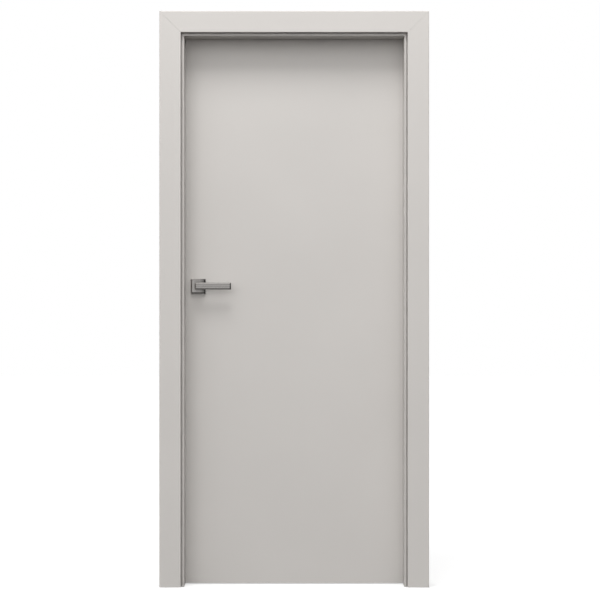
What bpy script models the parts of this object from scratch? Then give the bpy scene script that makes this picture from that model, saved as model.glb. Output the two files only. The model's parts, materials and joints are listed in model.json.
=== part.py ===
"""Interior door set: a flush leaf in an adjustable frame, with lever handles and three barrel hinges.

Metres, +Z up. People standing at -Y push the leaf, which swings away from them towards +Y.
The hinges are on the +X side. The origin is at floor level, half way through the wall, on the
face of the hinge jamb that is fixed to the wall.
"""

from math import atan2, cos, pi, sin, sqrt, tan

import bmesh
import bpy
from mathutils import Matrix, Vector

# Passage and wall
CLEAR_WIDTH = 0.808
CLEAR_HEIGHT = 2.022
WALL_THICKNESS = 0.100

# Clearances
SEAT_GAP = 0.0003
EDGE_GAP = 0.0055
LIP_GAP = 0.005
FLOOR_GAP = 0.003
RUNNING_GAP = 0.0002

# Frame beams: two jambs and a head with one section
BEAM_THICKNESS = 0.040
NOSE_THICKNESS = 0.0115
NOSE_RADIUS = 0.0018
SHADOW_GAP_WIDTH = 0.0042
SHADOW_GAP_DEPTH = 0.007
SHADOW_GAP_RADIUS = 0.0006
REBATE_STEP = 0.013

# Strips on the beams' back edges, which make the outer side of the rebate
STRIP_THICKNESS = 0.010
STRIP_SETBACK = 0.0005
STRIP_RADIUS = 0.0012

# Casings
CASING_WIDTH = 0.0785
CASING_THICKNESS = 0.016
CASING_OUTER_RADIUS = 0.003
CASING_INNER_RADIUS = 0.002
TONGUE_THICKNESS = 0.0115
TONGUE_LENGTH = 0.035
TONGUE_ROOM = 0.005

# Rubber seal in the stop
SEAL_PROUD = 0.0042
SEAL_BULB_WIDTH = 0.0056
SEAL_STEM_WIDTH = 0.0028
SEAL_STEM_DEPTH = 0.0045
SEAL_EDGE = 0.0055

# Leaf
LEAF_THICKNESS = 0.040
LIP_THICKNESS = 0.015
LIP_WIDTH = 0.013
LIP_RADIUS = 0.0018
SKIN_THICKNESS = 0.003
STILE_WIDTH = 0.035
TOP_RAIL_WIDTH = 0.035
BOTTOM_RAIL_WIDTH = 0.045
LOCK_BLOCK_SIDE = 0.030
LOCK_BLOCK_END = 0.090

# Barrel hinges
HINGE_COUNT = 3
HINGE_FROM_FLOOR = 0.240
HINGE_FROM_TOP = 0.235
HINGE_RADIUS = 0.0075
HINGE_SIDE_GAP = 0.0015
KNUCKLE_LENGTH = 0.042
CAP_HEIGHT = 0.004
CAP_NECK_RADIUS = 0.0062
CAP_NECK_HEIGHT = 0.0012
WASHER_THICKNESS = 0.001
WASHER_RADIUS = 0.0068
PIVOT_RADIUS = 0.004
PIVOT_LENGTH = 0.030
STUD_RADIUS = 0.003
STUD_SPACING = 0.024
LEAF_STUD_LENGTH = 0.036
FRAME_STUD_LENGTH = 0.040
STUD_ROOM = 0.002

# Lever handles
HANDLE_HEIGHT = 1.105
BACKSET = 0.055
ROSETTE_SIZE = 0.054
ROSETTE_THICKNESS = 0.0115
ROSETTE_CHAMFER = 0.0048
LEVER_LENGTH = 0.134
LEVER_HEEL = 0.011
LEVER_HEIGHT = 0.026
LEVER_THICKNESS = 0.010
LEVER_CHAMFER = 0.0045
LEVER_REACH = 0.055
NECK_RADIUS = 0.0095
NECK_BLOCK = 0.019
NECK_SEAT = 0.0004
SPINDLE_SIZE = 0.008
SPINDLE_GRIP = 0.022
SPINDLE_HOLE_RADIUS = 0.010

# Mortise latch and its strike
PLATE_CORNER_RADIUS = 0.005
BOLT_ROUNDING = 0.001
COUNTERSINK_WIDE = 0.0038
COUNTERSINK_NARROW = 0.0019
FOREND_WIDTH = 0.016
FOREND_MARGIN = 0.0005
FOREND_THICKNESS = 0.003
FOREND_LENGTH = 0.190
FOREND_SCREW_SPACING = 0.164
CASE_THICKNESS = 0.012
CASE_DEPTH = 0.080
CASE_HEIGHT = 0.120
CASE_ROOM = 0.0006
BOLT_WIDTH = 0.008
BOLT_HEIGHT = 0.018
BOLT_LENGTH = 0.030
BOLT_RISE = 0.012
STRIKE_WIDTH = 0.012
STRIKE_THICKNESS = 0.002
STRIKE_LENGTH = 0.120
STRIKE_SCREW_SPACING = 0.094
STRIKE_POCKET_DEPTH = 0.006
STRIKE_POCKET_ROOM = 0.0015

# Fineness of round shapes
ARC_STEPS = 5
TURN_STEPS = 32
NECK_POINTS = 32
NECK_RINGS = 6
SHARP_ANGLE = pi / 5

# Depth positions, from the pushing side at -Y to the pulling side at +Y
WALL_FRONT_Y = -WALL_THICKNESS / 2
WALL_BACK_Y = WALL_THICKNESS / 2
CASING_FRONT_Y = WALL_FRONT_Y - CASING_THICKNESS
CASING_BACK_Y = WALL_BACK_Y + CASING_THICKNESS
LIP_INNER_Y = CASING_BACK_Y + LIP_GAP
LEAF_BACK_Y = LIP_INNER_Y + LIP_THICKNESS
LEAF_FRONT_Y = LEAF_BACK_Y - LEAF_THICKNESS
CORE_FRONT_Y = LEAF_FRONT_Y + SKIN_THICKNESS + SEAT_GAP
CORE_BACK_Y = LEAF_BACK_Y - SKIN_THICKNESS - SEAT_GAP
STOP_Y = LEAF_FRONT_Y - SEAL_PROUD - SEAT_GAP
STRIP_Y = CASING_BACK_Y - STRIP_SETBACK
HINGE_Y = LIP_INNER_Y + LIP_THICKNESS / 2
LOCK_Y = CORE_FRONT_Y + FOREND_MARGIN + FOREND_WIDTH / 2
BOLT_Z = HANDLE_HEIGHT + BOLT_RISE

# Distances outwards from the edge of the passage, the same at both sides and the top
CASING_INNER = NOSE_THICKNESS + SEAT_GAP
CASING_OUTER = CASING_INNER + CASING_WIDTH
STRIP_OUTER = REBATE_STEP + STRIP_THICKNESS
BODY_EDGE = REBATE_STEP - EDGE_GAP
LIP_EDGE = BODY_EDGE + LIP_WIDTH
HINGE_OUT = LIP_EDGE + HINGE_SIDE_GAP + HINGE_RADIUS

# Positions across the width and up the height
HALF_WIDTH = CLEAR_WIDTH / 2
CENTRE_X = -(HALF_WIDTH + BEAM_THICKNESS)
HINGE_X = CENTRE_X + HALF_WIDTH + HINGE_OUT
HANDLE_X = CENTRE_X - HALF_WIDTH - BODY_EDGE + BACKSET
BODY_HALF = HALF_WIDTH + BODY_EDGE
BODY_TOP = CLEAR_HEIGHT + BODY_EDGE
LIP_HALF = HALF_WIDTH + LIP_EDGE
LIP_TOP = CLEAR_HEIGHT + LIP_EDGE
MITRE_GAP = SEAT_GAP / sqrt(2)
OVERCUT = 0.010

PAINT = (0.62, 0.595, 0.565)
RAW_BOARD = (0.50, 0.38, 0.24)
SATIN_METAL = (0.42, 0.42, 0.41)
STEEL = (0.55, 0.55, 0.54)
GREY_RUBBER = (0.20, 0.19, 0.18)


def clear_scene():
    for obj in list(bpy.data.objects):
        bpy.data.objects.remove(obj)


def new_collection(name):
    collection = bpy.data.collections.new(name)
    bpy.context.scene.collection.children.link(collection)
    return collection


def new_material(name, colour, roughness, metallic):
    material = bpy.data.materials.new(name)
    material.use_nodes = True
    shader = material.node_tree.nodes["Principled BSDF"]
    shader.inputs["Base Color"].default_value = (*colour, 1.0)
    shader.inputs["Roughness"].default_value = roughness
    shader.inputs["Metallic"].default_value = metallic
    return material


clear_scene()
DOOR = new_collection("door")
CUTTERS = new_collection("cutters")
CUTTERS.hide_render = True
PAINTED = new_material("painted_board", PAINT, 0.45, 0.0)
BOARD = new_material("raw_board", RAW_BOARD, 0.8, 0.0)
SATIN = new_material("satin_nickel", SATIN_METAL, 0.32, 1.0)
PLATED = new_material("plated_steel", STEEL, 0.3, 1.0)
RUBBER = new_material("grey_rubber", GREY_RUBBER, 0.7, 0.0)


def new_axis(name, location, parent=None):
    """An empty that carries what turns about it."""
    axis = bpy.data.objects.new(name, None)
    DOOR.objects.link(axis)
    axis.location = Vector(location)
    if parent is not None:
        axis.parent = parent
        axis.location -= world_place(parent)
    return axis


def world_place(obj):
    """Where an object is in the door's own frame, through the axes that carry it."""
    place = obj.location.copy()
    while obj.parent is not None:
        obj = obj.parent
        place += obj.location
    return place


def add_object(name, mesh, location, parent, material, rotation=(0, 0, 0)):
    obj = bpy.data.objects.new(name, mesh)
    DOOR.objects.link(obj)
    obj.parent = parent
    obj.location = Vector(location) - world_place(parent)
    obj.rotation_euler = rotation
    mesh.materials.clear()
    mesh.materials.append(material)
    mesh.shade_smooth()
    mesh.set_sharp_from_angle(angle=SHARP_ANGLE)
    return obj


def add_cutter(name, mesh, location, rotation=(0, 0, 0)):
    cutter = bpy.data.objects.new(name, mesh)
    CUTTERS.objects.link(cutter)
    cutter.location = location
    cutter.rotation_euler = rotation
    cutter.hide_render = True
    cutter.display_type = "WIRE"
    return cutter


def combine(obj, other, operation):
    modifier = obj.modifiers.new(other.name, "BOOLEAN")
    modifier.operation = operation
    modifier.solver = "EXACT"
    modifier.object = other


def bevel(obj, width, segments):
    modifier = obj.modifiers.new("bevel", "BEVEL")
    modifier.width = width
    modifier.segments = segments
    modifier.limit_method = "ANGLE"
    return modifier


def box_mesh(name, size):
    mesh = bpy.data.meshes.new(name)
    shape = bmesh.new()
    bmesh.ops.create_cube(shape, size=1.0, matrix=Matrix.Diagonal((*size, 1.0)))
    shape.to_mesh(mesh)
    shape.free()
    return mesh


def rod_mesh(name, radius, length, points=24):
    mesh = bpy.data.meshes.new(name)
    shape = bmesh.new()
    bmesh.ops.create_cone(
        shape, cap_ends=True, segments=points, radius1=radius, radius2=radius, depth=length
    )
    shape.to_mesh(mesh)
    shape.free()
    return mesh


def span_box(name, low, high, parent, material):
    """A box between two corners in the door's own frame."""
    low, high = Vector(low), Vector(high)
    return add_object(name, box_mesh(name, high - low), (low + high) / 2, parent, material)


def plate_mesh(name, width, length, thickness, radius):
    """A flat plate with round corners, standing on its end: thickness along X, width along Y."""
    half_width, half_length = width / 2, length / 2
    outline = rounded_outline(
        [
            (-half_width, -half_length, radius),
            (half_width, -half_length, radius),
            (half_width, half_length, radius),
            (-half_width, half_length, radius),
        ]
    )
    mesh = extruded_mesh(name, outline, lambda across: -thickness / 2, lambda across: thickness / 2)
    mesh.transform(Matrix.Rotation(pi / 2, 4, "Z") @ Matrix.Rotation(pi / 2, 4, "X"))
    return mesh


def countersink(plate, outer_x, inner_x, height):
    """A conical screw hole through a plate, wide at its outer face."""
    name = f"{plate.name}_screw_{height:.3f}"
    slope = (COUNTERSINK_WIDE - COUNTERSINK_NARROW) / abs(outer_x - inner_x)
    extra = COUNTERSINK_NARROW / 2 / slope
    mesh = bpy.data.meshes.new(name)
    shape = bmesh.new()
    bmesh.ops.create_cone(
        shape,
        cap_ends=True,
        segments=TURN_STEPS,
        radius1=COUNTERSINK_NARROW - extra * slope,
        radius2=COUNTERSINK_WIDE + extra * slope,
        depth=abs(outer_x - inner_x) + 2 * extra,
    )
    shape.to_mesh(mesh)
    shape.free()
    turn = pi / 2 if outer_x > inner_x else -pi / 2
    cone = add_cutter(name, mesh, ((outer_x + inner_x) / 2, LOCK_Y, height), (0, turn, 0))
    combine(plate, cone, "DIFFERENCE")


def span_cutter(name, low, high):
    low, high = Vector(low), Vector(high)
    return add_cutter(name, box_mesh(name, high - low), (low + high) / 2)


def rounded_outline(corners):
    """The points of a polygon whose corners are (across, along, radius)."""
    points = []
    for index, (across, along, radius) in enumerate(corners):
        corner = Vector((across, along))
        if radius == 0:
            points.append(corner)
            continue
        before = (Vector(corners[index - 1][:2]) - corner).normalized()
        after = (Vector(corners[(index + 1) % len(corners)][:2]) - corner).normalized()
        half_angle = before.angle(after) / 2
        centre = corner + (before + after).normalized() * (radius / sin(half_angle))
        start = corner + before * (radius / tan(half_angle)) - centre
        end = corner + after * (radius / tan(half_angle)) - centre
        first = atan2(start.y, start.x)
        sweep = (atan2(end.y, end.x) - first + pi) % (2 * pi) - pi
        for step in range(ARC_STEPS + 1):
            angle = first + sweep * step / ARC_STEPS
            points.append(centre + Vector((cos(angle), sin(angle))) * radius)
    return points


def extruded_mesh(name, outline, low_end, high_end):
    """An outline drawn out along Z. Each end's height is a function of abs(x), so it can be mitred."""
    curve = bpy.data.curves.new(name, "CURVE")
    curve.dimensions = "2D"
    curve.fill_mode = "BOTH"
    curve.extrude = 0.5
    spline = curve.splines.new("POLY")
    spline.points.add(len(outline) - 1)
    for point, place in zip(spline.points, outline):
        point.co = (place.x, place.y, 0.0, 1.0)
    spline.use_cyclic_u = True
    source = bpy.data.objects.new(name, curve)
    DOOR.objects.link(source)
    graph = bpy.context.evaluated_depsgraph_get()
    mesh = bpy.data.meshes.new_from_object(source.evaluated_get(graph))
    bpy.data.objects.remove(source)
    shape = bmesh.new()
    shape.from_mesh(mesh)
    bmesh.ops.remove_doubles(shape, verts=shape.verts, dist=1e-6)
    for vertex in shape.verts:
        end = high_end if vertex.co.z > 0 else low_end
        vertex.co.z = end(abs(vertex.co.x))
    bmesh.ops.recalc_face_normals(shape, faces=shape.faces)
    shape.to_mesh(mesh)
    shape.free()
    return mesh


def turned_mesh_object(name, profile, location, parent, material):
    """A profile of (radius, height) points, top to bottom, turned about the vertical through location."""
    mesh = bpy.data.meshes.new(name)
    edges = [(index, index + 1) for index in range(len(profile) - 1)]
    mesh.from_pydata([(radius, 0.0, height) for radius, height in profile], edges, [])
    obj = add_object(name, mesh, location, parent, material)
    screw = obj.modifiers.new("turn", "SCREW")
    screw.steps = TURN_STEPS
    screw.render_steps = TURN_STEPS
    screw.use_merge_vertices = True
    screw.merge_threshold = 1e-5
    return obj


def jamb(name, section, side, parent, material):
    """One upright of the frame, standing on the floor and mitred at its head."""
    outline = [Vector((side * out, y)) for out, y in section]
    mesh = extruded_mesh(name, outline, lambda out: 0.0, lambda out: CLEAR_HEIGHT + out - MITRE_GAP)
    return add_object(name, mesh, (CENTRE_X + side * HALF_WIDTH, 0, 0), parent, material)


def head(name, section, parent, material):
    """The frame's top member, mitred at both ends."""
    outline = [Vector((out, y)) for out, y in section]
    mesh = extruded_mesh(
        name,
        outline,
        lambda out: -(HALF_WIDTH + out - MITRE_GAP),
        lambda out: HALF_WIDTH + out - MITRE_GAP,
    )
    return add_object(name, mesh, (CENTRE_X, 0, CLEAR_HEIGHT), parent, material, (0, -pi / 2, 0))


def three_sides(name, section, parent, material):
    """Latch jamb, hinge jamb and head of one section."""
    section = [tuple(point) for point in section]
    return (
        jamb(f"{name}_latch_side", section, -1, parent, material),
        jamb(f"{name}_hinge_side", section, 1, parent, material),
        head(f"{name}_head", section, parent, material),
    )


def beam_section():
    """A board whose nose stands beside the casing, with a shadow gap between them, and a stop for the leaf."""
    nose_face = NOSE_THICKNESS - SHADOW_GAP_WIDTH
    gap_y = WALL_FRONT_Y + SHADOW_GAP_DEPTH
    groove_outer = SEAL_EDGE + SEAL_STEM_WIDTH / 2 + SEAT_GAP
    groove_inner = SEAL_EDGE - SEAL_STEM_WIDTH / 2 - SEAT_GAP
    groove_y = STOP_Y - SEAL_STEM_DEPTH - SEAT_GAP
    tongue_room_y = WALL_FRONT_Y + TONGUE_LENGTH + TONGUE_ROOM
    return rounded_outline(
        [
            (0, WALL_FRONT_Y, NOSE_RADIUS),
            (nose_face, WALL_FRONT_Y, SHADOW_GAP_RADIUS),
            (nose_face, gap_y, 0),
            (NOSE_THICKNESS, gap_y, 0),
            (NOSE_THICKNESS, tongue_room_y, 0),
            (BEAM_THICKNESS, tongue_room_y, 0),
            (BEAM_THICKNESS, WALL_BACK_Y - SEAT_GAP, 0),
            (REBATE_STEP, WALL_BACK_Y - SEAT_GAP, 0),
            (REBATE_STEP, STOP_Y, 0),
            (groove_outer, STOP_Y, 0),
            (groove_outer, groove_y, 0),
            (groove_inner, groove_y, 0),
            (groove_inner, STOP_Y, 0),
            (0, STOP_Y, NOSE_RADIUS),
        ]
    )


def rebate_strip_section():
    """The strip on the beam's back edge, between the rebate and the back casing."""
    return rounded_outline(
        [
            (REBATE_STEP, WALL_BACK_Y, 0),
            (STRIP_OUTER, WALL_BACK_Y, 0),
            (STRIP_OUTER, STRIP_Y, 0),
            (REBATE_STEP, STRIP_Y, STRIP_RADIUS),
        ]
    )


def front_casing_section():
    """The sliding casing: a flat face over the wall and a tongue beside the beam's nose."""
    tongue_outer = CASING_INNER + TONGUE_THICKNESS
    return rounded_outline(
        [
            (CASING_INNER, CASING_FRONT_Y, CASING_INNER_RADIUS),
            (CASING_OUTER, CASING_FRONT_Y, CASING_OUTER_RADIUS),
            (CASING_OUTER, WALL_FRONT_Y, 0),
            (tongue_outer, WALL_FRONT_Y, 0),
            (tongue_outer, WALL_FRONT_Y + TONGUE_LENGTH, 0),
            (CASING_INNER, WALL_FRONT_Y + TONGUE_LENGTH, 0),
        ]
    )


def back_casing_section():
    """The fixed casing, glued against the rebate strip."""
    inner = STRIP_OUTER + SEAT_GAP
    return rounded_outline(
        [
            (inner, WALL_BACK_Y, 0),
            (CASING_OUTER, WALL_BACK_Y, 0),
            (CASING_OUTER, CASING_BACK_Y, CASING_OUTER_RADIUS),
            (inner, CASING_BACK_Y, CASING_INNER_RADIUS),
        ]
    )


def seal_section():
    """A stem in the groove and a round bulb that the closed leaf rests on."""
    bulb = SEAL_BULB_WIDTH / 2
    stem = SEAL_STEM_WIDTH / 2
    base_y = STOP_Y + SEAT_GAP
    return rounded_outline(
        [
            (SEAL_EDGE - stem, STOP_Y - SEAL_STEM_DEPTH, 0),
            (SEAL_EDGE + stem, STOP_Y - SEAL_STEM_DEPTH, 0),
            (SEAL_EDGE + stem, base_y, 0),
            (SEAL_EDGE + bulb, base_y, 0),
            (SEAL_EDGE + bulb, STOP_Y + SEAL_PROUD, bulb * 0.95),
            (SEAL_EDGE - bulb, STOP_Y + SEAL_PROUD, bulb * 0.95),
            (SEAL_EDGE - bulb, base_y, 0),
            (SEAL_EDGE - stem, base_y, 0),
        ]
    )


def build_strike(frame, latch_strip):
    """A flat plate let into the rebate strip of the latch jamb, with a pocket behind its hole."""
    face_x = CENTRE_X - HALF_WIDTH - REBATE_STEP
    outer_x, inner_x = face_x - SEAT_GAP, face_x - STRIKE_THICKNESS
    mesh = plate_mesh("strike_plate", STRIKE_WIDTH, STRIKE_LENGTH, outer_x - inner_x, PLATE_CORNER_RADIUS)
    plate = add_object("strike_plate", mesh, ((outer_x + inner_x) / 2, LOCK_Y, BOLT_Z), frame, PLATED)
    recess_plate(latch_strip, plate, STRIKE_WIDTH, STRIKE_LENGTH, inner_x, face_x)
    pocket_y = BOLT_WIDTH / 2 + STRIKE_POCKET_ROOM
    pocket_z = BOLT_HEIGHT / 2 + STRIKE_POCKET_ROOM
    pocket = span_cutter(
        "strike_pocket",
        (inner_x - STRIKE_POCKET_DEPTH, LOCK_Y - pocket_y, BOLT_Z - pocket_z),
        (face_x + OVERCUT, LOCK_Y + pocket_y, BOLT_Z + pocket_z),
    )
    combine(latch_strip, pocket, "DIFFERENCE")
    combine(plate, pocket, "DIFFERENCE")
    for end in (-1, 1):
        countersink(plate, outer_x, inner_x, BOLT_Z + end * STRIKE_SCREW_SPACING / 2)


def recess_plate(piece, plate, width, length, inner_x, face_x):
    """Lets a plate into a piece, flush with the piece's face at face_x."""
    outwards = 1 if face_x > inner_x else -1
    bottom_x, top_x = inner_x - outwards * SEAT_GAP, face_x + outwards * OVERCUT
    name = f"{plate.name}_recess"
    radius = PLATE_CORNER_RADIUS + SEAT_GAP
    mesh = plate_mesh(name, width + 2 * SEAT_GAP, length + 2 * SEAT_GAP, abs(top_x - bottom_x), radius)
    place = ((bottom_x + top_x) / 2, LOCK_Y, world_place(plate).z)
    combine(piece, add_cutter(name, mesh, place), "DIFFERENCE")


def hinge_heights():
    """The height of each hinge's middle, evenly spaced from the lowest to the highest."""
    lowest, highest = HINGE_FROM_FLOOR, CLEAR_HEIGHT - HINGE_FROM_TOP
    return [lowest + (highest - lowest) * index / (HINGE_COUNT - 1) for index in range(HINGE_COUNT)]


def cap_profile(end, outwards):
    """A domed finial on the end of a knuckle, from its middle to the knuckle's edge."""
    neck = end + outwards * CAP_NECK_HEIGHT
    dome = [
        (
            HINGE_RADIUS * sin(step / ARC_STEPS * pi / 2),
            neck + outwards * (CAP_HEIGHT - CAP_NECK_HEIGHT) * cos(step / ARC_STEPS * pi / 2),
        )
        for step in range(ARC_STEPS + 1)
    ]
    return [*dome, (CAP_NECK_RADIUS, neck), (CAP_NECK_RADIUS, end)]


def build_hinge(number, height, frame, swing, pieces):
    """Lower knuckle and pivot on the frame, upper knuckle on the leaf, each held by two studs."""
    place = (HINGE_X, HINGE_Y, height)
    upper_base = WASHER_THICKNESS / 2 + SEAT_GAP
    upper_top = upper_base + KNUCKLE_LENGTH
    lower_top = -upper_base
    lower_base = lower_top - KNUCKLE_LENGTH
    bore = PIVOT_RADIUS + RUNNING_GAP
    bore_top = PIVOT_LENGTH + RUNNING_GAP

    lower_profile = [
        (0, PIVOT_LENGTH),
        (PIVOT_RADIUS, PIVOT_LENGTH),
        (PIVOT_RADIUS, lower_top),
        (HINGE_RADIUS, lower_top),
        (HINGE_RADIUS, lower_base),
        *reversed(cap_profile(lower_base, -1)),
    ]
    upper_profile = [
        *cap_profile(upper_top, 1),
        (HINGE_RADIUS, upper_top),
        (HINGE_RADIUS, upper_base),
        (bore, upper_base),
        (bore, bore_top),
        (0, bore_top),
    ]
    lower = turned_mesh_object(f"hinge_{number}_frame_part", lower_profile, place, frame, SATIN)
    upper = turned_mesh_object(f"hinge_{number}_leaf_part", upper_profile, place, swing, SATIN)

    ring = [
        (WASHER_RADIUS, WASHER_THICKNESS / 2),
        (WASHER_RADIUS, -WASHER_THICKNESS / 2),
        (bore, -WASHER_THICKNESS / 2),
        (bore, WASHER_THICKNESS / 2),
        (WASHER_RADIUS, WASHER_THICKNESS / 2),
    ]
    turned_mesh_object(f"hinge_{number}_washer", ring, place, frame, RUBBER)

    for end in (-1, 1):
        lift = end * STUD_SPACING / 2
        leaf_stud_z = height + upper_base + KNUCKLE_LENGTH / 2 + lift
        frame_stud_z = height + lower_base + KNUCKLE_LENGTH / 2 + lift
        inside = (bore + HINGE_RADIUS) / 2
        add_stud(upper, (-1, 0), inside, LEAF_STUD_LENGTH, leaf_stud_z, pieces["leaf"])
        add_stud(lower, (0, -1), 0.0, FRAME_STUD_LENGTH, frame_stud_z, pieces["frame"])


def add_stud(knuckle, direction, inside, length, height, drilled):
    """A stud that leaves a knuckle along direction, and the holes for it in the pieces it enters."""
    turn = (0, pi / 2, 0) if direction[0] else (pi / 2, 0, 0)
    reach = HINGE_RADIUS + length
    name = f"{knuckle.name}_stud_{height:.3f}"

    def middle(start, end):
        along = (start + end) / 2
        return (HINGE_X + direction[0] * along, HINGE_Y + direction[1] * along, height)

    stud = add_cutter(name, rod_mesh(name, STUD_RADIUS, reach - inside, 16), middle(inside, reach), turn)
    combine(knuckle, stud, "UNION")
    hole_end = reach + STUD_ROOM
    hole_name = f"{name}_hole"
    hole_mesh = rod_mesh(hole_name, STUD_RADIUS + SEAT_GAP, hole_end, 16)
    hole = add_cutter(hole_name, hole_mesh, middle(0, hole_end), turn)
    for piece in drilled:
        combine(piece, hole, "DIFFERENCE")


def build_leaf(swing):
    """Two face skins on stiles, rails and a core. The back skin and the strips behind it reach out as a lip."""
    pieces = {}

    def board(name, low, high, material=PAINTED):
        pieces[name] = span_box(f"leaf_{name}", low, high, swing, material)
        return pieces[name]

    left, right = CENTRE_X - BODY_HALF, CENTRE_X + BODY_HALF
    lip_left, lip_right = CENTRE_X - LIP_HALF, CENTRE_X + LIP_HALF
    board("front_skin", (left, LEAF_FRONT_Y, FLOOR_GAP), (right, LEAF_FRONT_Y + SKIN_THICKNESS, BODY_TOP))
    back_skin_low = (lip_left, LEAF_BACK_Y - SKIN_THICKNESS, FLOOR_GAP)
    round_outer_edges(board("back_skin", back_skin_low, (lip_right, LEAF_BACK_Y, LIP_TOP)))

    for name, outer, side in (("latch", left, 1), ("hinge", right, -1)):
        inner, lip_start = outer + side * STILE_WIDTH, outer - side * SEAT_GAP
        lip_end = outer - side * LIP_WIDTH
        stile_x, lip_x = sorted((outer, inner)), sorted((lip_start, lip_end))
        board(
            f"{name}_stile",
            (stile_x[0], CORE_FRONT_Y, FLOOR_GAP),
            (stile_x[1], CORE_BACK_Y, BODY_TOP),
        )
        board(f"{name}_lip", (lip_x[0], LIP_INNER_Y, FLOOR_GAP), (lip_x[1], CORE_BACK_Y, LIP_TOP))
    lip_low = (left + SEAT_GAP, LIP_INNER_Y, BODY_TOP + SEAT_GAP)
    board("top_lip", lip_low, (right - SEAT_GAP, CORE_BACK_Y, LIP_TOP))

    between_left, between_right = left + STILE_WIDTH + SEAT_GAP, right - STILE_WIDTH - SEAT_GAP
    top_rail_z = BODY_TOP - TOP_RAIL_WIDTH
    bottom_rail_z = FLOOR_GAP + BOTTOM_RAIL_WIDTH
    board("top_rail", (between_left, CORE_FRONT_Y, top_rail_z), (between_right, CORE_BACK_Y, BODY_TOP))
    board("bottom_rail", (between_left, CORE_FRONT_Y, FLOOR_GAP), (between_right, CORE_BACK_Y, bottom_rail_z))

    block_x = left + FOREND_THICKNESS + CASE_DEPTH + LOCK_BLOCK_SIDE
    block_half = CASE_HEIGHT / 2 + LOCK_BLOCK_END
    block_low = Vector((between_left, CORE_FRONT_Y, HANDLE_HEIGHT - block_half))
    block_high = Vector((block_x, CORE_BACK_Y, HANDLE_HEIGHT + block_half))
    board("lock_block", block_low, block_high, BOARD)
    core_low = (between_left, CORE_FRONT_Y, bottom_rail_z + SEAT_GAP)
    core = board("core", core_low, (between_right, CORE_BACK_Y, top_rail_z - SEAT_GAP), BOARD)
    beyond = Vector((OVERCUT, OVERCUT, SEAT_GAP))
    past = Vector((SEAT_GAP, OVERCUT, SEAT_GAP))
    combine(core, span_cutter("lock_block_notch", block_low - beyond, block_high + past), "DIFFERENCE")
    return pieces


def round_outer_edges(skin):
    """Rounds the edges of the back skin's outer face, apart from the bottom one."""
    shape = bmesh.new()
    shape.from_mesh(skin.data)
    weights = shape.edges.layers.float.new("bevel_weight_edge")
    outer = max(vertex.co.y for vertex in shape.verts)
    bottom = min(vertex.co.z for vertex in shape.verts)
    for edge in shape.edges:
        on_face = all(abs(vertex.co.y - outer) < 1e-6 for vertex in edge.verts)
        at_bottom = all(abs(vertex.co.z - bottom) < 1e-6 for vertex in edge.verts)
        edge[weights] = 1.0 if on_face and not at_bottom else 0.0
    shape.to_mesh(skin.data)
    shape.free()
    bevel(skin, LIP_RADIUS, ARC_STEPS).limit_method = "WEIGHT"


def build_latch(swing, leaf):
    """A latch case let into the leaf's edge, with its forend flush and its bolt drawn back."""
    edge_x = CENTRE_X - BODY_HALF
    outer_x, inner_x = edge_x + SEAT_GAP, edge_x + FOREND_THICKNESS
    mesh = plate_mesh("latch_forend", FOREND_WIDTH, FOREND_LENGTH, inner_x - outer_x, PLATE_CORNER_RADIUS)
    place = ((outer_x + inner_x) / 2, LOCK_Y, HANDLE_HEIGHT)
    forend = add_object("latch_forend", mesh, place, swing, PLATED)
    recess_plate(leaf["latch_stile"], forend, FOREND_WIDTH, FOREND_LENGTH, inner_x, edge_x)
    for end in (-1, 1):
        countersink(forend, outer_x, inner_x, HANDLE_HEIGHT + end * FOREND_SCREW_SPACING / 2)

    case_x = inner_x + SEAT_GAP
    case_low = Vector((case_x, LOCK_Y - CASE_THICKNESS / 2, HANDLE_HEIGHT - CASE_HEIGHT / 2))
    case_high = Vector((case_x + CASE_DEPTH, LOCK_Y + CASE_THICKNESS / 2, HANDLE_HEIGHT + CASE_HEIGHT / 2))
    case = span_box("latch_case", case_low, case_high, swing, PLATED)
    room = Vector((CASE_ROOM, CASE_ROOM, CASE_ROOM))
    mortise = span_cutter("case_mortise", case_low - room, case_high + room)
    for piece in (leaf["latch_stile"], leaf["lock_block"]):
        combine(piece, mortise, "DIFFERENCE")

    half_bolt = Vector((0, BOLT_WIDTH / 2, BOLT_HEIGHT / 2))
    bolt_middle = Vector((0, LOCK_Y, BOLT_Z))
    bolt_low = Vector((outer_x, 0, 0)) + bolt_middle - half_bolt
    bolt_high = Vector((outer_x + BOLT_LENGTH, 0, 0)) + bolt_middle + half_bolt
    bolt = span_box("latch_bolt", bolt_low, bolt_high, swing, PLATED)
    bevel(bolt, BOLT_ROUNDING, 2)
    room = Vector((SEAT_GAP, SEAT_GAP, SEAT_GAP))
    channel = span_cutter("bolt_channel", bolt_low - room - Vector((OVERCUT, 0, 0)), bolt_high + room)
    combine(forend, channel, "DIFFERENCE")
    combine(case, channel, "DIFFERENCE")
    return case


def build_spindle_hole(pieces):
    """The round way through the leaf for the spindle."""
    length = LEAF_THICKNESS + 2 * OVERCUT
    place = (HANDLE_X, (LEAF_FRONT_Y + LEAF_BACK_Y) / 2, HANDLE_HEIGHT)
    mesh = rod_mesh("spindle_hole", SPINDLE_HOLE_RADIUS, length, TURN_STEPS)
    hole = add_cutter("spindle_hole", mesh, place, (pi / 2, 0, 0))
    for piece in pieces:
        combine(piece, hole, "DIFFERENCE")


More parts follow.
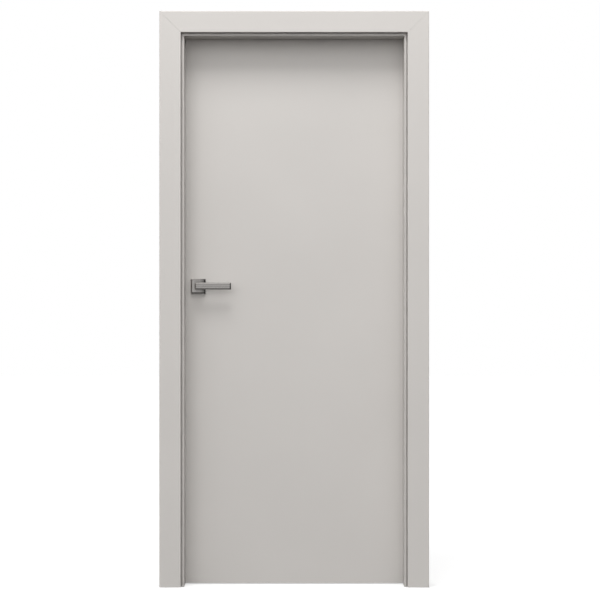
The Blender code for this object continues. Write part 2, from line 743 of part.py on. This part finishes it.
def build_rosette(name, face_y, outwards, swing):
    """A square rose with chamfered edges and a round seat for the lever's neck."""
    near, far = face_y + outwards * SEAT_GAP, face_y + outwards * (SEAT_GAP + ROSETTE_THICKNESS)
    half = ROSETTE_SIZE / 2
    rosette = span_box(
        name,
        (HANDLE_X - half, min(near, far), HANDLE_HEIGHT - half),
        (HANDLE_X + half, max(near, far), HANDLE_HEIGHT + half),
        swing,
        SATIN,
    )
    chamfer_outer_face(rosette, outwards, ROSETTE_CHAMFER)
    bore_length = ROSETTE_THICKNESS + 2 * OVERCUT
    bore_name = f"{name}_bore"
    bore_mesh = rod_mesh(bore_name, NECK_RADIUS + RUNNING_GAP, bore_length, NECK_POINTS)
    bore = add_cutter(bore_name, bore_mesh, (HANDLE_X, (near + far) / 2, HANDLE_HEIGHT), (pi / 2, 0, 0))
    combine(rosette, bore, "DIFFERENCE")


def chamfer_outer_face(obj, outwards, width):
    shape = bmesh.new()
    shape.from_mesh(obj.data)
    weights = shape.edges.layers.float.new("bevel_weight_edge")
    outer = max(outwards * vertex.co.y for vertex in shape.verts)
    for edge in shape.edges:
        on_face = all(abs(outwards * vertex.co.y - outer) < 1e-6 for vertex in edge.verts)
        edge[weights] = 1.0 if on_face else 0.0
    shape.to_mesh(obj.data)
    shape.free()
    bevel(obj, width, 1).limit_method = "WEIGHT"


def neck_mesh(name, start, end):
    """A loft along Y from a round section in the rosette to a rounded square behind the bar."""
    mesh = bpy.data.meshes.new(name)
    shape = bmesh.new()
    rings = []
    for ring in range(NECK_RINGS + 1):
        share = ring / NECK_RINGS
        blend = share * share * (3 - 2 * share)
        power = 2 + 5 * blend
        half = NECK_RADIUS + (NECK_BLOCK / 2 - NECK_RADIUS) * blend
        points = []
        for index in range(NECK_POINTS):
            angle = 2 * pi * index / NECK_POINTS
            radius = half / (abs(cos(angle)) ** power + abs(sin(angle)) ** power) ** (1 / power)
            place = (radius * cos(angle), start + (end - start) * share, radius * sin(angle))
            points.append(shape.verts.new(place))
        rings.append(points)
    for near, far in zip(rings, rings[1:]):
        for index in range(NECK_POINTS):
            following = (index + 1) % NECK_POINTS
            shape.faces.new((near[index], near[following], far[following], far[index]))
    shape.faces.new(rings[0])
    shape.faces.new(rings[-1])
    bmesh.ops.recalc_face_normals(shape, faces=shape.faces)
    shape.to_mesh(mesh)
    shape.free()
    return mesh


def build_lever(name, face_y, outwards, handle):
    """A flat bar with chamfered edges on a neck that turns in the rosette."""
    front = face_y + outwards * LEVER_REACH
    back = front - outwards * LEVER_THICKNESS
    bar = span_box(
        name,
        (HANDLE_X - LEVER_HEEL, min(front, back), HANDLE_HEIGHT - LEVER_HEIGHT / 2),
        (HANDLE_X - LEVER_HEEL + LEVER_LENGTH, max(front, back), HANDLE_HEIGHT + LEVER_HEIGHT / 2),
        handle,
        SATIN,
    )
    chamfer_outer_face(bar, outwards, LEVER_CHAMFER)
    neck_start = face_y + outwards * (SEAT_GAP + NECK_SEAT)
    straight_end = face_y + outwards * (SEAT_GAP + ROSETTE_THICKNESS + 0.001)
    neck_end = back + outwards * LEVER_THICKNESS / 2
    collar_length = abs(straight_end - neck_start)
    collar_name = f"{name}_collar"
    collar = add_cutter(
        collar_name,
        rod_mesh(collar_name, NECK_RADIUS, collar_length + SEAT_GAP, NECK_POINTS),
        (HANDLE_X, (neck_start + straight_end) / 2, HANDLE_HEIGHT),
        (pi / 2, 0, 0),
    )
    neck_name = f"{name}_neck"
    neck = add_cutter(neck_name, neck_mesh(neck_name, straight_end, neck_end), (HANDLE_X, 0, HANDLE_HEIGHT))
    combine(bar, neck, "UNION")
    combine(bar, collar, "UNION")
    return bar


def build_spindle(levers, handle):
    """A square bar through the leaf that joins the two levers and turns the latch's follower."""
    half = SPINDLE_SIZE / 2
    front = LEAF_FRONT_Y - SPINDLE_GRIP
    back = LEAF_BACK_Y + SPINDLE_GRIP
    low = Vector((HANDLE_X - half, front, HANDLE_HEIGHT - half))
    high = Vector((HANDLE_X + half, back, HANDLE_HEIGHT + half))
    span_box("handle_spindle", low, high, handle, PLATED)
    room = Vector((SEAT_GAP, SEAT_GAP, SEAT_GAP))
    socket = span_cutter("spindle_socket", low - room, high + room)
    follower_mesh = rod_mesh("latch_follower", SPINDLE_HOLE_RADIUS - RUNNING_GAP, CASE_THICKNESS, TURN_STEPS)
    place = (HANDLE_X, LOCK_Y, HANDLE_HEIGHT)
    follower = add_object("latch_follower", follower_mesh, place, handle, PLATED, (pi / 2, 0, 0))
    for piece in (*levers, follower):
        combine(piece, socket, "DIFFERENCE")


def build():
    frame = new_axis("frame", (0, 0, 0))
    swing = new_axis("leaf_swing_axis", (HINGE_X, HINGE_Y, 0))
    handle = new_axis("lever_turn_axis", (HANDLE_X, LEAF_FRONT_Y, HANDLE_HEIGHT), swing)

    _, hinge_beam, _ = three_sides("beam", beam_section(), frame, PAINTED)
    latch_strip, _, _ = three_sides("rebate_strip", rebate_strip_section(), frame, PAINTED)
    three_sides("front_casing", front_casing_section(), frame, PAINTED)
    _, hinge_casing, _ = three_sides("back_casing", back_casing_section(), frame, PAINTED)
    three_sides("seal", seal_section(), frame, RUBBER)
    build_strike(frame, latch_strip)

    leaf = build_leaf(swing)
    case = build_latch(swing, leaf)
    build_spindle_hole([leaf["front_skin"], leaf["back_skin"], leaf["lock_block"], case])

    drilled = {"frame": [hinge_beam, hinge_casing], "leaf": [leaf["hinge_lip"], leaf["hinge_stile"]]}
    for number, height in enumerate(hinge_heights(), 1):
        build_hinge(number, height, frame, swing, drilled)

    build_rosette("rosette_front", LEAF_FRONT_Y, -1, swing)
    build_rosette("rosette_back", LEAF_BACK_Y, 1, swing)
    levers = [
        build_lever("lever_front", LEAF_FRONT_Y, -1, handle),
        build_lever("lever_back", LEAF_BACK_Y, 1, handle),
    ]
    build_spindle(levers, handle)


build()
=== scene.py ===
"""The looks of the interior door: finishes, small fasteners, floor, light and camera.

Lengths are in metres. The door faces -Y, X runs to its right and Z up.
"""

import json
from math import cos, pi, radians, sin

import bmesh
import bpy
from mathutils import Matrix, Vector

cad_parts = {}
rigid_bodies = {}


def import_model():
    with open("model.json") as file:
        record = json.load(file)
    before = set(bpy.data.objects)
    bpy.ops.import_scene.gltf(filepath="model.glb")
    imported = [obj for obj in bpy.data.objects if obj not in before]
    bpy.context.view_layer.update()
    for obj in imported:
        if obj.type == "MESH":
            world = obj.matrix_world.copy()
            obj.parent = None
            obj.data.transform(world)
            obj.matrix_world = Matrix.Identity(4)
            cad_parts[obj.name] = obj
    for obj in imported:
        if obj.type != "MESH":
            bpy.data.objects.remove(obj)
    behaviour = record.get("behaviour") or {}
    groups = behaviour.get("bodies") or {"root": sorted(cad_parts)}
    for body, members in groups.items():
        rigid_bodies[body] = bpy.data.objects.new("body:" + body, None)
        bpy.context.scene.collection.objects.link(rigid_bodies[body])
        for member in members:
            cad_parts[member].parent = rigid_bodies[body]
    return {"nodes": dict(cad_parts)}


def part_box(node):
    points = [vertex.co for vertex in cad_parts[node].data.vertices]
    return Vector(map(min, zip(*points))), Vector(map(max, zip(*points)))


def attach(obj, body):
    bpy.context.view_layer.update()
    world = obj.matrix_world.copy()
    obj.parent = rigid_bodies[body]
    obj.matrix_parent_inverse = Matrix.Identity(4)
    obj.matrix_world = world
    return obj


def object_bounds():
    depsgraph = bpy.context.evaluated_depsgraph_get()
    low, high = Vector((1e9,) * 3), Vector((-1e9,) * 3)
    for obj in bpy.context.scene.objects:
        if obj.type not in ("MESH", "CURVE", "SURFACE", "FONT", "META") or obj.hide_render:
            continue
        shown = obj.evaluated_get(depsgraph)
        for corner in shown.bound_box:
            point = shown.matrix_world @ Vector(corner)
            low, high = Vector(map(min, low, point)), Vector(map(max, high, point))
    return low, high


# The photograph's frame: its scale at the front casing, the door's middle, floor and horizon
IMAGE_SIZE = 600
CASING_WIDTH = 0.9886
CASING_WIDTH_PX = 269.9
METRES_PER_PIXEL = CASING_WIDTH / CASING_WIDTH_PX
DOOR_MIDDLE_PX = 294.2
FLOOR_PX = 587.45
HORIZON_PX = 320.0
CAMERA_DISTANCE = 8.0
CAMERA_REACH = (0.1, 200.0)
SENSOR = 36.0

# Each softbox: degrees up and to the left of straight ahead, distance, width and height, power
SOFTBOXES = {
    "key": ((61.5, 10.0), 4.5, (2.25, 1.35), 97.0),
}
# The soft light from all round, and the lobes that it swells to: degrees up and to the left of
# straight ahead, strength, and the power of the cosine that it falls off with
ROUND_LIGHT = 0.04
LOBES = {
    "front": ((0.0, 0.0), 1.49, 2),
    "upper_left": ((30.0, 30.0), 0.88, 2),
    "back": ((0.0, 180.0), 1.8, 2),
    "back_left": ((0.0, 115.0), 1.4, 4),
    "back_right": ((0.0, -115.0), 1.4, 4),
}
# The floor's grey and glow where it is seen, and the grey that throws light back at the door
FLOOR_SIZE = 60.0
FLOOR_GAP = 0.0005
FLOOR_SEEN = 0.62
FLOOR_LIFT = 0.48
FLOOR_BOUNCE = 0.02
FLOOR_ROUGHNESS = 0.9

# Colours
LACQUER = (0.61, 0.584, 0.558)
# The lacquer of the beams and rebate strips is painted deeper than the leaf's by this share, as
# painted shade in the reveals
BEAM_PAINTED_SHADE = 0.88
RAW_BOARD = (0.50, 0.37, 0.23)
NICKEL = (0.286, 0.275, 0.266)
STEEL = (0.42, 0.42, 0.41)
SCREW_STEEL = (0.25, 0.25, 0.245)
RUBBER = (0.16, 0.155, 0.15)

# Where nearly all values of a noise lie. A noise's scale is in waves per metre
NOISE_SPAN = (0.3, 0.7)

# Lacquer: its clouds in tone, its gloss, its orange peel and the board's long waves
CLOUD_SCALE = 2.3
CLOUD_SPAN = (0.35, 0.65)
CLOUD_CHANGE = 0.012
GLOSS_SCALE = 38.0
LACQUER_ROUGHNESS = (0.40, 0.48)
LACQUER_SPECULAR = 0.45
PEEL_SCALE, PEEL_HEIGHT, PEEL_STRENGTH = 420.0, 0.00006, 0.35
WAVE_SCALE, WAVE_HEIGHT, WAVE_STRENGTH = 9.0, 0.0004, 0.12

# Metal: its brush lines, across and along, and its smudges
LINES_ACROSS = 2600.0
LINES_ALONG = 16.0
LINE_ROUGHNESS = 0.55
LINE_CHANGE = 0.05
LINE_HEIGHT, LINE_STRENGTH = 0.00001, 0.5
SMUDGE_SCALE = 30.0
SMUDGE_GLOSS = (-0.02, 0.02)
NICKEL_GLOSS = (0.26, 0.34)
STEEL_GLOSS = (0.22, 0.32)

# How far a face has to lean to one side to begin to take, and to take, that side's painted tone
PAINTED_LIGHT_LEAN_SPAN = (0.3, 0.65)
# The handles' painted light and shade by facet: the side a facet leans to, and its tone against
# the faces square to the door. Facets leaning up and to -X get a painted highlight, and those
# leaning down and to +X get painted shade and dark reflection
LEVER_PAINTED_LIGHT = (
    ((0, 0, 1), 1.6),
    ((0, 0, -1), 0.42),
    ((1, 0, 0), 0.22),
    ((-1, 0, 0), 1.35),
)
# Painted highlight on the rosettes' upward and -X facets, and painted shade and dark reflection
# on their downward and +X facets
ROSETTE_PAINTED_LIGHT = (
    ((0, 0, 1), 1.05),
    ((0, 0, -1), 0.46),
    ((1, 0, 0), 0.40),
    ((-1, 0, 0), 1.5),
)
# Painted light and shade on the rosettes, a painted highlight near the latch side and painted
# shade toward the hinge side: over which shares of their width, counted from the latch side, and
# from what to what
ROSETTE_PAINTED_LIGHT_SPANS = (
    ((0.15, 0.40), (1.22, 1.0)),
    ((0.62, 0.95), (1.0, 0.37)),
)
# The wide bands on the levers: their pitch, the height of one band's middle, their depth in tone
BAND_PITCH = 0.0073
BAND_LEVEL = 1.1068
BAND_DEPTH = 0.12

# Rubber and chipboard
RUBBER_TONE_SCALE, RUBBER_CHANGE = 60.0, 0.1
RUBBER_GRAIN_SCALE, RUBBER_GRAIN_HEIGHT, RUBBER_GRAIN_STRENGTH = 1500.0, 0.00004, 0.4
RUBBER_ROUGHNESS = 0.62
CHIP_SCALE, CHIP_STRETCH, CHIP_CHANGE = 240.0, (1, 1, 3), 0.25
CHIP_HEIGHT, CHIP_STRENGTH = 0.0003, 0.5
CHIP_ROUGHNESS = 0.85

# Countersunk screws: radii of head and neck, depth, sides, how far in from the plate's ends, how
# far below its face, and the slots of their cross with its turn
SCREW_HEAD, SCREW_NECK, SCREW_DEPTH = 0.0036, 0.0018, 0.0016
SCREW_SIDES = 40
SCREW_INSET = 0.013
SCREW_SUNK = 0.0002
CROSS_SLOT = (0.0040, 0.0008, 0.0016)
CROSS_TURN = 0.4

# The finish of each CAD node, by the longest of these that its name starts with
FINISHES = {
    "beam": "beam_painted_shade_lacquer",
    "rebate_strip": "beam_painted_shade_lacquer",
    "front_casing": "lacquer",
    "back_casing": "lacquer",
    "seal": "rubber",
    "strike": "steel_upright",
    "leaf": "lacquer",
    "leaf_core": "chipboard",
    "leaf_lock_block": "chipboard",
    "latch": "steel_upright",
    "hinge": "nickel_upright",
    "rosette": "nickel_level_painted_light",
    "lever": "nickel_lever_painted_light",
    "handle_spindle": "steel_upright",
}


def clear_scene():
    for obj in list(bpy.data.objects):
        bpy.data.objects.remove(obj)


class Nodes:
    """A short way to write the nodes of a material or a world."""

    def __init__(self, owner, shader="Principled BSDF"):
        owner.use_nodes = True
        self.tree = owner.node_tree
        self.shader = self.tree.nodes[shader]

    def add(self, kind, inputs=None, **settings):
        """A new node. An input that is given a socket is linked, and any other is set."""
        node = self.tree.nodes.new(kind)
        for key, value in settings.items():
            setattr(node, key, value)
        for key, value in (inputs or {}).items():
            if isinstance(value, bpy.types.NodeSocket):
                self.tree.links.new(value, node.inputs[key])
            else:
                node.inputs[key].default_value = value
        return node

    def link(self, output, key):
        self.tree.links.new(output, self.shader.inputs[key])

    def fix(self, key, value):
        """Sets what is the same all over, on the shader's own socket."""
        self.shader.inputs[key].default_value = value

    def math(self, operation, *values):
        node = self.add("ShaderNodeMath", dict(enumerate(values)), operation=operation)
        return node.outputs[0]

    def lean(self, direction, side):
        """The cosine of the angle between a direction and a side."""
        inputs = {0: direction, 1: side}
        node = self.add("ShaderNodeVectorMath", inputs, operation="DOT_PRODUCT")
        return node.outputs["Value"]

    def place(self, scale=(1, 1, 1)):
        """Object coordinates in metres, stretched by scale."""
        source = self.add("ShaderNodeTexCoord").outputs["Object"]
        return self.add("ShaderNodeMapping", {"Vector": source, "Scale": scale}).outputs["Vector"]

    def coordinate(self, axis):
        return self.add("ShaderNodeSeparateXYZ", {"Vector": self.place()}).outputs[axis]

    def noise(self, where, scale, detail=2.0, roughness=0.5):
        inputs = {"Vector": where, "Scale": scale, "Detail": detail, "Roughness": roughness}
        return self.add("ShaderNodeTexNoise", inputs).outputs["Fac"]

    def spread(self, value, span, out=(0, 1)):
        """The value's span stretched to out, and cut off there."""
        inputs = {
            "Value": value,
            "From Min": span[0],
            "From Max": span[1],
            "To Min": out[0],
            "To Max": out[1],
        }
        return self.add("ShaderNodeMapRange", inputs).outputs["Result"]

    def blend(self, factor, first, second):
        node = self.add("ShaderNodeMix", data_type="RGBA")
        self.tree.links.new(factor, node.inputs["Factor"])
        colours = [socket for socket in node.inputs if socket.type == "RGBA"]
        colours[0].default_value = (*first, 1)
        colours[1].default_value = (*second, 1)
        return next(socket for socket in node.outputs if socket.type == "RGBA")

    def uneven(self, factor, colour, change):
        """The colour, from a little deeper to a little lighter."""
        return self.blend(factor, shade(colour, 1 - change), shade(colour, 1 + change))

    def bump(self, height, distance, strength, normal=None):
        inputs = {"Height": height, "Distance": distance, "Strength": strength}
        if normal is not None:
            inputs["Normal"] = normal
        return self.add("ShaderNodeBump", inputs).outputs["Normal"]


def shade(colour, share):
    return tuple(channel * share for channel in colour)


def new_material(name):
    material = bpy.data.materials.new(name)
    return material, Nodes(material)


def lacquer(name, colour):
    """Sprayed satin lacquer on smooth board, with hardly any unevenness in tone and gloss."""
    material, nodes = new_material(name)
    where = nodes.place()
    cloud = nodes.spread(nodes.noise(where, CLOUD_SCALE), CLOUD_SPAN)
    nodes.link(nodes.uneven(cloud, colour, CLOUD_CHANGE), "Base Color")
    gloss = nodes.noise(where, GLOSS_SCALE, detail=3.0)
    nodes.link(nodes.spread(gloss, NOISE_SPAN, LACQUER_ROUGHNESS), "Roughness")
    peel = nodes.bump(nodes.noise(where, PEEL_SCALE), PEEL_HEIGHT, PEEL_STRENGTH)
    wave = nodes.noise(where, WAVE_SCALE, detail=1.0)
    nodes.link(nodes.bump(wave, WAVE_HEIGHT, WAVE_STRENGTH, peel), "Normal")
    nodes.fix("Specular IOR Level", LACQUER_SPECULAR)
    return material


def painted_facet_light(nodes, painted_facets):
    """Painted light and shade by facet: 1 on faces square to the door, and each facet's painted
    tone where a face leans to its side.
    """
    normal = nodes.add("ShaderNodeTexCoord").outputs["Normal"]
    tone = 1.0
    for side, painted_tone in painted_facets:
        share = nodes.spread(nodes.lean(normal, side), PAINTED_LIGHT_LEAN_SPAN, (1.0, painted_tone))
        tone = nodes.math("MULTIPLY", share, tone)
    return tone


def lever_tone_bands(nodes, tone):
    """Wide bands along X on the levers, lighter and deeper in turn."""
    waves = 2 * pi / BAND_PITCH
    turn = nodes.math("MULTIPLY_ADD", nodes.coordinate("Z"), waves, -waves * BAND_LEVEL)
    wave = nodes.math("COSINE", turn)
    share = nodes.spread(wave, (-1.0, 1.0), (1 - BAND_DEPTH, 1 + BAND_DEPTH))
    return nodes.math("MULTIPLY", share, tone)


def painted_rosette_light(nodes, tone):
    """Painted light on the rosettes: a painted highlight near the latch side, and painted shade
    that deepens over their last third.
    """
    low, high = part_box("rosette_front")
    across = nodes.coordinate("X")
    for shares, painted_tones in ROSETTE_PAINTED_LIGHT_SPANS:
        span = [low.x + share * (high.x - low.x) for share in shares]
        tone = nodes.math("MULTIPLY", nodes.spread(across, span, painted_tones), tone)
    return tone


def brushed(name, colour, along, gloss=NICKEL_GLOSS, painted_facets=(), detail=None):
    """Satin metal with fine brush lines along one axis, and painted light and shade by facet
    where facets are given.
    """
    material, nodes = new_material(name)
    scale = [LINES_ACROSS] * 3
    scale["XYZ".index(along)] = LINES_ALONG
    lines = nodes.noise(nodes.place(scale), 1.0, roughness=LINE_ROUGHNESS)
    smudge = nodes.noise(nodes.place(), SMUDGE_SCALE, detail=3.0)
    metal = nodes.uneven(nodes.spread(lines, NOISE_SPAN), colour, LINE_CHANGE)
    # Painted light and shade by facet, multiplied into the metal's colour
    if painted_facets:
        tone = painted_facet_light(nodes, painted_facets)
        if detail is not None:
            tone = detail(nodes, tone)
        inputs = {0: metal, "Scale": tone}
        metal = nodes.add("ShaderNodeVectorMath", inputs, operation="SCALE").outputs["Vector"]
    nodes.link(metal, "Base Color")
    line_gloss = nodes.spread(lines, NOISE_SPAN, gloss)
    smudge_gloss = nodes.spread(smudge, NOISE_SPAN, SMUDGE_GLOSS)
    nodes.link(nodes.math("ADD", line_gloss, smudge_gloss), "Roughness")
    nodes.link(nodes.bump(lines, LINE_HEIGHT, LINE_STRENGTH), "Normal")
    nodes.fix("Metallic", 1.0)
    return material


def soft_rubber(name, colour):
    material, nodes = new_material(name)
    where = nodes.place()
    tone = nodes.spread(nodes.noise(where, RUBBER_TONE_SCALE, detail=3.0), NOISE_SPAN)
    nodes.link(nodes.uneven(tone, colour, RUBBER_CHANGE), "Base Color")
    grain = nodes.noise(where, RUBBER_GRAIN_SCALE)
    nodes.link(nodes.bump(grain, RUBBER_GRAIN_HEIGHT, RUBBER_GRAIN_STRENGTH), "Normal")
    nodes.fix("Roughness", RUBBER_ROUGHNESS)
    return material


def chipboard(name, colour):
    """Pressed chips, long and short, in two tones."""
    material, nodes = new_material(name)
    inputs = {"Vector": nodes.place(CHIP_STRETCH), "Scale": CHIP_SCALE}
    cells = nodes.add("ShaderNodeTexVoronoi", inputs).outputs
    tone = nodes.add("ShaderNodeSeparateColor", {"Color": cells["Color"]}).outputs["Red"]
    nodes.link(nodes.uneven(tone, colour, CHIP_CHANGE), "Base Color")
    nodes.link(nodes.bump(cells["Distance"], CHIP_HEIGHT, CHIP_STRENGTH), "Normal")
    nodes.fix("Roughness", CHIP_ROUGHNESS)
    return material


def dress(nodes, materials):
    """Gives every CAD node its finish."""
    for name, obj in nodes.items():
        finish = FINISHES[max((key for key in FINISHES if name.startswith(key)), key=len)]
        if name.endswith("washer"):
            finish = "rubber"
        for slot in obj.material_slots:
            slot.material = materials[finish]


def add_object(name, shape):
    """An object of a finished bmesh."""
    mesh = bpy.data.meshes.new(name)
    shape.to_mesh(mesh)
    shape.free()
    obj = bpy.data.objects.new(name, mesh)
    bpy.context.scene.collection.objects.link(obj)
    return obj


def make_screw(name, place, outwards, body, material):
    """A countersunk cross-head screw with its head at place. outwards is 1 or -1, along X."""
    upright = Matrix.Rotation(outwards * pi / 2, 4, "Y")
    shape = bmesh.new()
    bmesh.ops.create_cone(
        shape,
        cap_ends=True,
        segments=SCREW_SIDES,
        radius1=SCREW_NECK,
        radius2=SCREW_HEAD,
        depth=SCREW_DEPTH,
    )
    bmesh.ops.translate(shape, verts=shape.verts, vec=(0, 0, -SCREW_DEPTH / 2))
    obj = add_object(name, shape)
    obj.matrix_world = Matrix.Translation(place) @ upright
    obj.data.materials.append(material)
    slots = bmesh.new()
    for turn in (0, pi / 2):
        slot = Matrix.Rotation(turn + CROSS_TURN, 4, "Z") @ Matrix.Diagonal((*CROSS_SLOT, 1))
        bmesh.ops.create_cube(slots, size=1, matrix=slot)
    cutter = add_object(name + "_cross", slots)
    cutter.matrix_world = Matrix.Translation(place) @ upright
    cut = obj.modifiers.new("cross", "BOOLEAN")
    cut.object = cutter
    cut.solver = "EXACT"
    cut.operation = "DIFFERENCE"
    cut.use_self = True
    bpy.context.view_layer.update()
    graph = bpy.context.evaluated_depsgraph_get()
    finished = bpy.data.meshes.new_from_object(obj.evaluated_get(graph))
    obj.modifiers.clear()
    obj.data = finished
    bpy.data.objects.remove(cutter)
    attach(obj, body)


def screws_in(plate, outwards, body, material):
    """Two screws, one near each end of an upright plate."""
    low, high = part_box(plate)
    face = high.x if outwards > 0 else low.x
    middle = (low + high) / 2
    reach = (high.z - low.z) / 2 - SCREW_INSET
    for number, end in enumerate((-1, 1), 1):
        place = Vector((face - outwards * SCREW_SUNK, middle.y, middle.z + end * reach))
        make_screw(f"{plate}_screw_{number}", place, outwards, body, material)


def seen_directly(nodes):
    """1 for camera, glossy and transmission rays, or else 0."""
    path = nodes.add("ShaderNodeLightPath").outputs
    seen = nodes.math("MAXIMUM", path["Is Camera Ray"], path["Is Glossy Ray"])
    return nodes.math("MAXIMUM", seen, path["Is Transmission Ray"])


def make_floor(middle):
    """A pale floor. The camera and metal see it as white with the door's shadow on it."""
    place = (middle.x, middle.y, -FLOOR_GAP)
    bpy.ops.mesh.primitive_plane_add(size=FLOOR_SIZE, location=place)
    floor = bpy.context.object
    floor.name = "floor"
    material, nodes = new_material("floor")
    seen = seen_directly(nodes)
    nodes.link(nodes.blend(seen, (FLOOR_BOUNCE,) * 3, (FLOOR_SEEN,) * 3), "Base Color")
    nodes.link(nodes.math("MULTIPLY", seen, FLOOR_LIFT), "Emission Strength")
    nodes.fix("Emission Color", (1, 1, 1, 1))
    nodes.fix("Roughness", FLOOR_ROUGHNESS)
    nodes.fix("Specular IOR Level", 0.0)
    floor.data.materials.append(material)


def pointing(up, left):
    """The direction so many degrees up and to the left of straight ahead of the door."""
    up, left = radians(up), radians(left)
    return Vector((-sin(left) * cos(up), -cos(left) * cos(up), sin(up)))


def make_world():
    """A soft light from all round, fuller along its lobes. It shows as plain white."""
    world = bpy.data.worlds.new("studio")
    bpy.context.scene.world = world
    nodes = Nodes(world, "Background")
    nodes.fix("Color", (1, 1, 1, 1))
    view = nodes.add("ShaderNodeTexCoord").outputs["Generated"]
    light = ROUND_LIGHT
    for (up, left), strength, power in LOBES.values():
        lean = nodes.math("MAXIMUM", nodes.lean(view, pointing(up, left)), 0.0)
        light = nodes.math("MULTIPLY_ADD", nodes.math("POWER", lean, power), strength, light)
    shown = nodes.add("ShaderNodeMix", data_type="FLOAT")
    factor, unseen, seen = (socket for socket in shown.inputs if socket.type == "VALUE")
    nodes.tree.links.new(seen_directly(nodes), factor)
    nodes.tree.links.new(light, unseen)
    seen.default_value = 1.0
    nodes.link(next(socket for socket in shown.outputs if socket.type == "VALUE"), "Strength")


def make_softboxes(middle):
    for name, ((up, left), distance, size, power) in SOFTBOXES.items():
        direction = pointing(up, left)
        lamp = bpy.data.lights.new(name, "AREA")
        lamp.shape = "RECTANGLE"
        lamp.size, lamp.size_y = size
        lamp.energy = power
        obj = bpy.data.objects.new(name, lamp)
        bpy.context.scene.collection.objects.link(obj)
        obj.location = middle + direction * distance
        obj.rotation_euler = (-direction).to_track_quat("-Z", "Y").to_euler()


def make_camera(low, high):
    """Level, square to the door, with the photograph's scale, horizon and place of the door."""
    data = bpy.data.cameras.new("camera")
    camera = bpy.data.objects.new("camera", data)
    bpy.context.scene.collection.objects.link(camera)
    bpy.context.scene.camera = camera
    data.sensor_width = SENSOR
    data.lens = SENSOR * CAMERA_DISTANCE / (IMAGE_SIZE * METRES_PER_PIXEL)
    data.shift_y = (HORIZON_PX - IMAGE_SIZE / 2) / IMAGE_SIZE
    data.clip_start, data.clip_end = CAMERA_REACH
    camera.location = (
        (low.x + high.x) / 2 + (IMAGE_SIZE / 2 - DOOR_MIDDLE_PX) * METRES_PER_PIXEL,
        low.y - CAMERA_DISTANCE,
        (FLOOR_PX - HORIZON_PX) * METRES_PER_PIXEL,
    )
    camera.rotation_euler = (pi / 2, 0, 0)


clear_scene()
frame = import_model()
cad_low, cad_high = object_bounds()
bpy.context.scene.view_settings.view_transform = "Standard"

materials = {
    "lacquer": lacquer("satin_lacquer", LACQUER),
    # Painted shade: the beams' lacquer is made deeper than the leaf's
    "beam_painted_shade_lacquer": lacquer("satin_lacquer_beam_painted_shade", shade(LACQUER, BEAM_PAINTED_SHADE)),
    "chipboard": chipboard("chipboard", RAW_BOARD),
    # The rosettes' nickel carries painted light and shade by facet and across its width
    "nickel_level_painted_light": brushed(
        "satin_nickel_level", NICKEL, "X", painted_facets=ROSETTE_PAINTED_LIGHT, detail=painted_rosette_light
    ),
    # The levers' nickel carries painted light and shade by facet
    "nickel_lever_painted_light": brushed(
        "satin_nickel_lever", NICKEL, "X", painted_facets=LEVER_PAINTED_LIGHT, detail=lever_tone_bands
    ),
    "nickel_upright": brushed("satin_nickel_upright", NICKEL, "Z"),
    "steel_upright": brushed("plated_steel", STEEL, "Z", STEEL_GLOSS),
    "screw_steel": brushed("plated_screw", SCREW_STEEL, "Y", STEEL_GLOSS),
    "rubber": soft_rubber("grey_rubber", RUBBER),
}
dress(frame["nodes"], materials)
screws_in("latch_forend", -1, "leaf", materials["screw_steel"])
screws_in("strike_plate", 1, "frame", materials["screw_steel"])

middle = (cad_low + cad_high) / 2
make_floor(middle)
make_world()
make_softboxes(middle)
make_camera(cad_low, cad_high)
